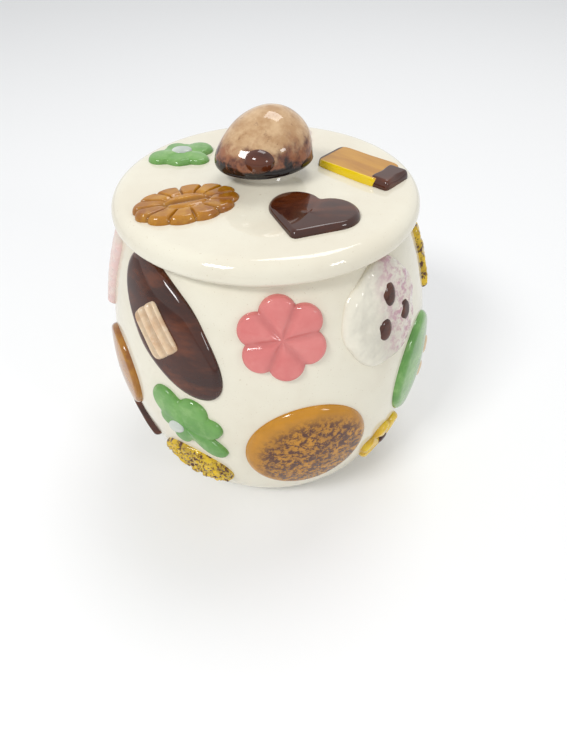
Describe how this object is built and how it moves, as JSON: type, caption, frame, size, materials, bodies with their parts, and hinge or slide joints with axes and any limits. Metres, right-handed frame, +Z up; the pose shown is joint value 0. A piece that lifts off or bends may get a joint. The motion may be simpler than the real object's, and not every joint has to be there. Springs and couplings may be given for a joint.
{
  "type": "biscuit jar",
  "caption": "Round-bellied glazed earthenware biscuit jar with assorted biscuits in relief on its wall and lid, and a lift-off lid with a nut-shaped knob.",
  "frame": {"origin": "centre of the foot, on the surface the jar stands on", "axes": "+Z up through the knob, -Y toward the viewer, +X to the viewer's right; the foot's face looks down -Z"},
  "size_m": [0.2015, 0.2052, 0.2299],
  "materials": {
    "cream_glaze": "glossy",
    "chocolate_glaze": "glossy",
    "pink_glaze": "glossy",
    "green_glaze": "glossy",
    "ginger_glaze": "glossy",
    "yellow_glaze": "glossy",
    "nut_glaze": "glossy",
    "white_glaze": "glossy",
    "knob_glaze": "glossy"
  },
  "bodies": {
    "jar": {"back_ginger_round": "ginger_glaze", "back_green_blossom": "green_glaze", "back_heart": "chocolate_glaze", "chocolate_finger": "chocolate_glaze", "chocolate_oval": "chocolate_glaze", "coconut_round": "yellow_glaze", "ginger_round": "ginger_glaze", "green_bead": "white_glaze", "green_blossom": "green_glaze", "iced_drop_lower": "chocolate_glaze", "iced_drop_right": "chocolate_glaze", "iced_drop_upper": "chocolate_glaze", "iced_round": "white_glaze", "jar_body": "cream_glaze", "leaf_biscuit": "green_glaze", "leaf_nut_lower": "nut_glaze", "leaf_nut_upper": "nut_glaze", "lemon_bar": "yellow_glaze", "ochre_round": "ginger_glaze", "oval_nut": "nut_glaze", "pink_blossom": "pink_glaze", "ribbed_wafer": "pink_glaze", "yellow_bead": "chocolate_glaze", "yellow_blossom": "yellow_glaze"},
    "lid": {"knob": "knob_glaze", "lid": "cream_glaze", "lid_fluted_oval": "ginger_glaze", "lid_green_bead": "white_glaze", "lid_green_blossom": "green_glaze", "lid_heart": "chocolate_glaze", "lid_pink_blossom": "pink_glaze", "lid_wafer_bar": "ginger_glaze", "lid_wafer_dip": "chocolate_glaze"}
  },
  "joints": [
    {"name": "lid_lift", "type": "slide", "parent": "jar", "child": "lid", "axis": [0, 0, 1], "range_m": [0, 0.12]}
  ]
}
